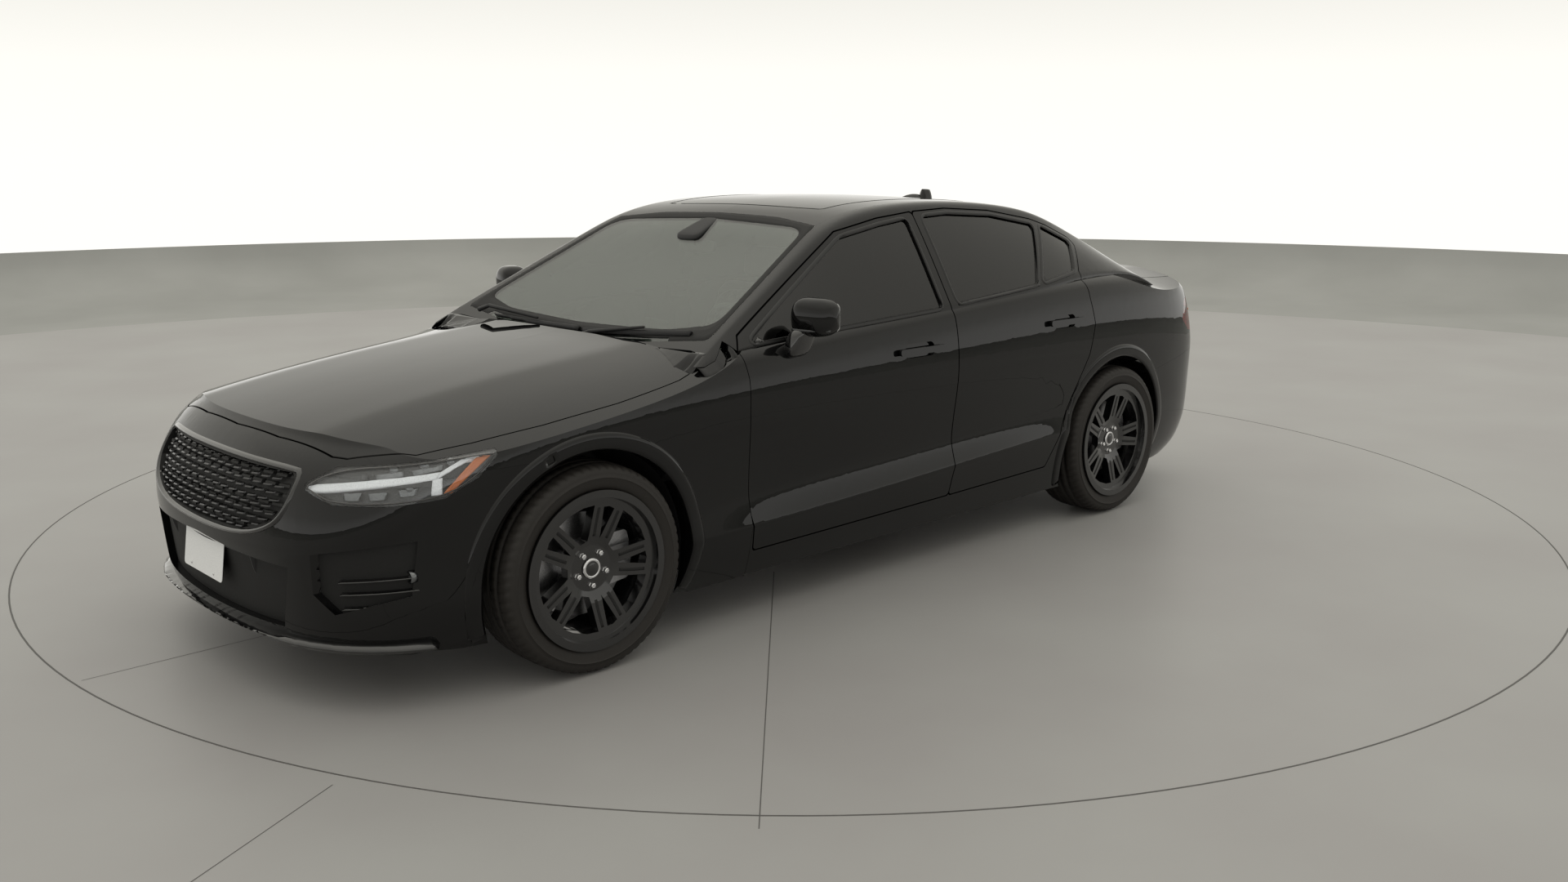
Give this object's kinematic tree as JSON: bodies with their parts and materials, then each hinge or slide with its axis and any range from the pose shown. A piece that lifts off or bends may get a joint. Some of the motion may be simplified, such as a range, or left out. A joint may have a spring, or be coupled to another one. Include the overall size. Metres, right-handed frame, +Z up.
{
  "type": "four-door saloon car",
  "caption": "Mid-size four-door saloon with opening doors, hood and boot lid, steered front wheels, hollow cabin with seats, and gloss black finish.",
  "frame": {"origin": "on the floor below the centre of the car's outer box", "axes": "+X forward along the car, +Y to its left, +Z up"},
  "size_m": [4.7585, 2.039, 1.4303],
  "materials": {
    "body_paint": "high gloss black",
    "window_glass": "tinted glass",
    "clear_glass": "laminated glass, greenish",
    "lamp_glass": "clear lamp cover",
    "red_lamp": "red lamp cover",
    "black_plastic": "grained black",
    "gloss_black": "gloss black trim",
    "underbody": "satin undercoat",
    "cast_metal": "raw casting",
    "alloy": "gloss black wheel",
    "tyre": "rubber",
    "leather": "charcoal leather",
    "exhaust_steel": "bare steel"
  },
  "bodies": {
    "body": {"floor_pan": "underbody", "wheel_liners": "black_plastic", "body_side_left": "body_paint", "body_side_right": "body_paint", "roof_panel": "body_paint", "roof_glass": "window_glass", "front_fenders": "body_paint", "front_bumper": "body_paint", "grille": "gloss_black", "rear_bumper": "body_paint", "headlamps": "lamp_glass", "tail_lamps": "red_lamp", "windshield": "clear_glass", "rear_window": "window_glass", "cowl_panel": "black_plastic", "dashboard": "black_plastic", "front_seats": "leather", "rear_bench": "leather", "engine_block": "cast_metal", "front_axle": "cast_metal", "rear_axle": "cast_metal", "exhaust": "exhaust_steel"},
    "hood": {"hood": "body_paint"},
    "boot_lid": {"boot_lid": "body_paint"},
    "steering_wheel": {"steering_wheel": "leather"},
    "front_door_left": {"front_door_left": "body_paint", "front_door_glass_left": "window_glass", "mirror_left": "gloss_black"},
    "rear_door_left": {"rear_door_left": "body_paint", "rear_door_glass_left": "window_glass"},
    "knuckle_left": {"knuckle_left": "cast_metal"},
    "wheel_front_left": {"wheel_front_left": "alloy", "tyre_front_left": "tyre"},
    "wheel_rear_left": {"wheel_rear_left": "alloy", "tyre_rear_left": "tyre"},
    "front_door_right": {"front_door_right": "body_paint", "front_door_glass_right": "window_glass", "mirror_right": "gloss_black"},
    "rear_door_right": {"rear_door_right": "body_paint", "rear_door_glass_right": "window_glass"},
    "knuckle_right": {"knuckle_right": "cast_metal"},
    "wheel_front_right": {"wheel_front_right": "alloy", "tyre_front_right": "tyre"},
    "wheel_rear_right": {"wheel_rear_right": "alloy", "tyre_rear_right": "tyre"}
  },
  "joints": [
    {"name": "front_door_left_hinge", "type": "hinge", "parent": "body", "child": "front_door_left", "pos_m": [0.88176, 0.9255, 0.6], "axis": [0, 0, -1], "range_deg": [0, 65]},
    {"name": "rear_door_left_hinge", "type": "hinge", "parent": "body", "child": "rear_door_left", "pos_m": [-0.21613, 0.9255, 0.6], "axis": [0, 0, -1], "range_deg": [0, 65]},
    {"name": "steer_left", "type": "hinge", "parent": "body", "child": "knuckle_left", "pos_m": [1.5075, 0.72, 0.335], "axis": [0, 0, 1], "range_deg": [-33, 33]},
    {"name": "spin_front_left", "type": "hinge", "parent": "knuckle_left", "child": "wheel_front_left", "pos_m": [1.5075, 0.801, 0.335], "axis": [0, 1, 0], "continuous": true},
    {"name": "spin_rear_left", "type": "hinge", "parent": "body", "child": "wheel_rear_left", "pos_m": [-1.3645, 0.801, 0.335], "axis": [0, 1, 0], "continuous": true},
    {"name": "front_door_right_hinge", "type": "hinge", "parent": "body", "child": "front_door_right", "pos_m": [0.88176, -0.9255, 0.6], "axis": [0, 0, 1], "range_deg": [0, 65]},
    {"name": "rear_door_right_hinge", "type": "hinge", "parent": "body", "child": "rear_door_right", "pos_m": [-0.21613, -0.9255, 0.6], "axis": [0, 0, 1], "range_deg": [0, 65]},
    {"name": "steer_right", "type": "hinge", "parent": "body", "child": "knuckle_right", "pos_m": [1.5075, -0.72, 0.335], "axis": [0, 0, 1], "range_deg": [-33, 33]},
    {"name": "spin_front_right", "type": "hinge", "parent": "knuckle_right", "child": "wheel_front_right", "pos_m": [1.5075, -0.801, 0.335], "axis": [0, 1, 0], "continuous": true},
    {"name": "spin_rear_right", "type": "hinge", "parent": "body", "child": "wheel_rear_right", "pos_m": [-1.3645, -0.801, 0.335], "axis": [0, 1, 0], "continuous": true},
    {"name": "hood_hinge", "type": "hinge", "parent": "body", "child": "hood", "pos_m": [0.985, 0, 0.975], "axis": [0, -1, 0], "range_deg": [0, 50]},
    {"name": "boot_lid_hinge", "type": "hinge", "parent": "body", "child": "boot_lid", "pos_m": [-1.733, 0, 1.072], "axis": [0, 1, 0], "range_deg": [0, 75]},
    {"name": "steering_wheel_turn", "type": "hinge", "parent": "body", "child": "steering_wheel", "pos_m": [0.40945, 0.37, 0.86576], "axis": [-0.9135, 0, 0.4067], "range_deg": [-500, 500]}
  ],
  "couplings": [
    {"joint": "steer_right", "follows": "steer_left", "ratio": 1},
    {"joint": "steering_wheel_turn", "follows": "steer_left", "ratio": 15}
  ]
}
